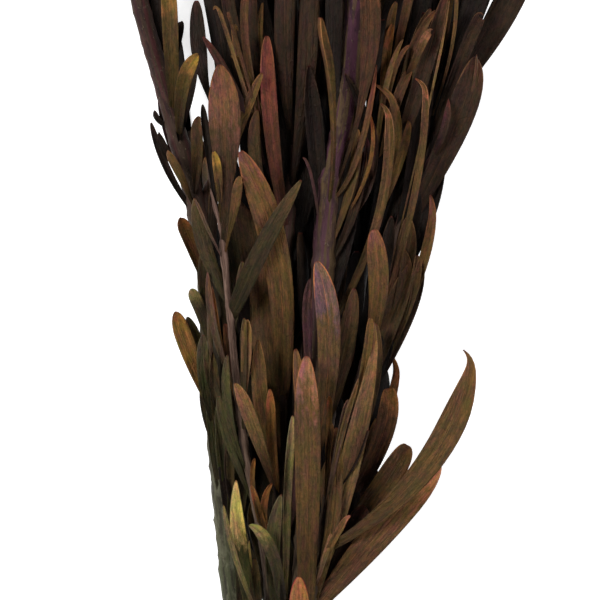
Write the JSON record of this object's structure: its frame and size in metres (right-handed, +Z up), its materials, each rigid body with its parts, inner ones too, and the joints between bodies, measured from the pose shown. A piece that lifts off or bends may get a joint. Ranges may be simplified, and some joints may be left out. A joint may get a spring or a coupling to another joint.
{
  "type": "preserved foliage bunch",
  "caption": "Tied bunch of preserved leafy branches with dark olive-brown strap-shaped leaves, lying on its side for vases, wreaths or display.",
  "frame": {"origin": "on the table, under the middle of the lying bunch", "axes": "+Y along the bunch from the cut ends to the leaf tips, +X to the right and +Z up from the table, where the camera looks down from"},
  "size_m": [0.1643, 0.4324, 0.0566],
  "materials": {
    "leaf_left": "satin",
    "leaf_twig": "satin",
    "leaf_mid_left": "satin",
    "leaf_centre": "satin",
    "leaf_mid_right": "satin",
    "leaf_right": "satin",
    "leaf_front": "satin",
    "twine": "matte"
  },
  "bodies": {
    "root": {"branch_left": "leaf_left", "twig_left": "leaf_twig", "branch_mid_left": "leaf_mid_left", "branch_centre": "leaf_centre", "branch_mid_right": "leaf_mid_right", "branch_right": "leaf_right", "branch_front": "leaf_front", "tie_twine": "twine"}
  },
  "joints": []
}
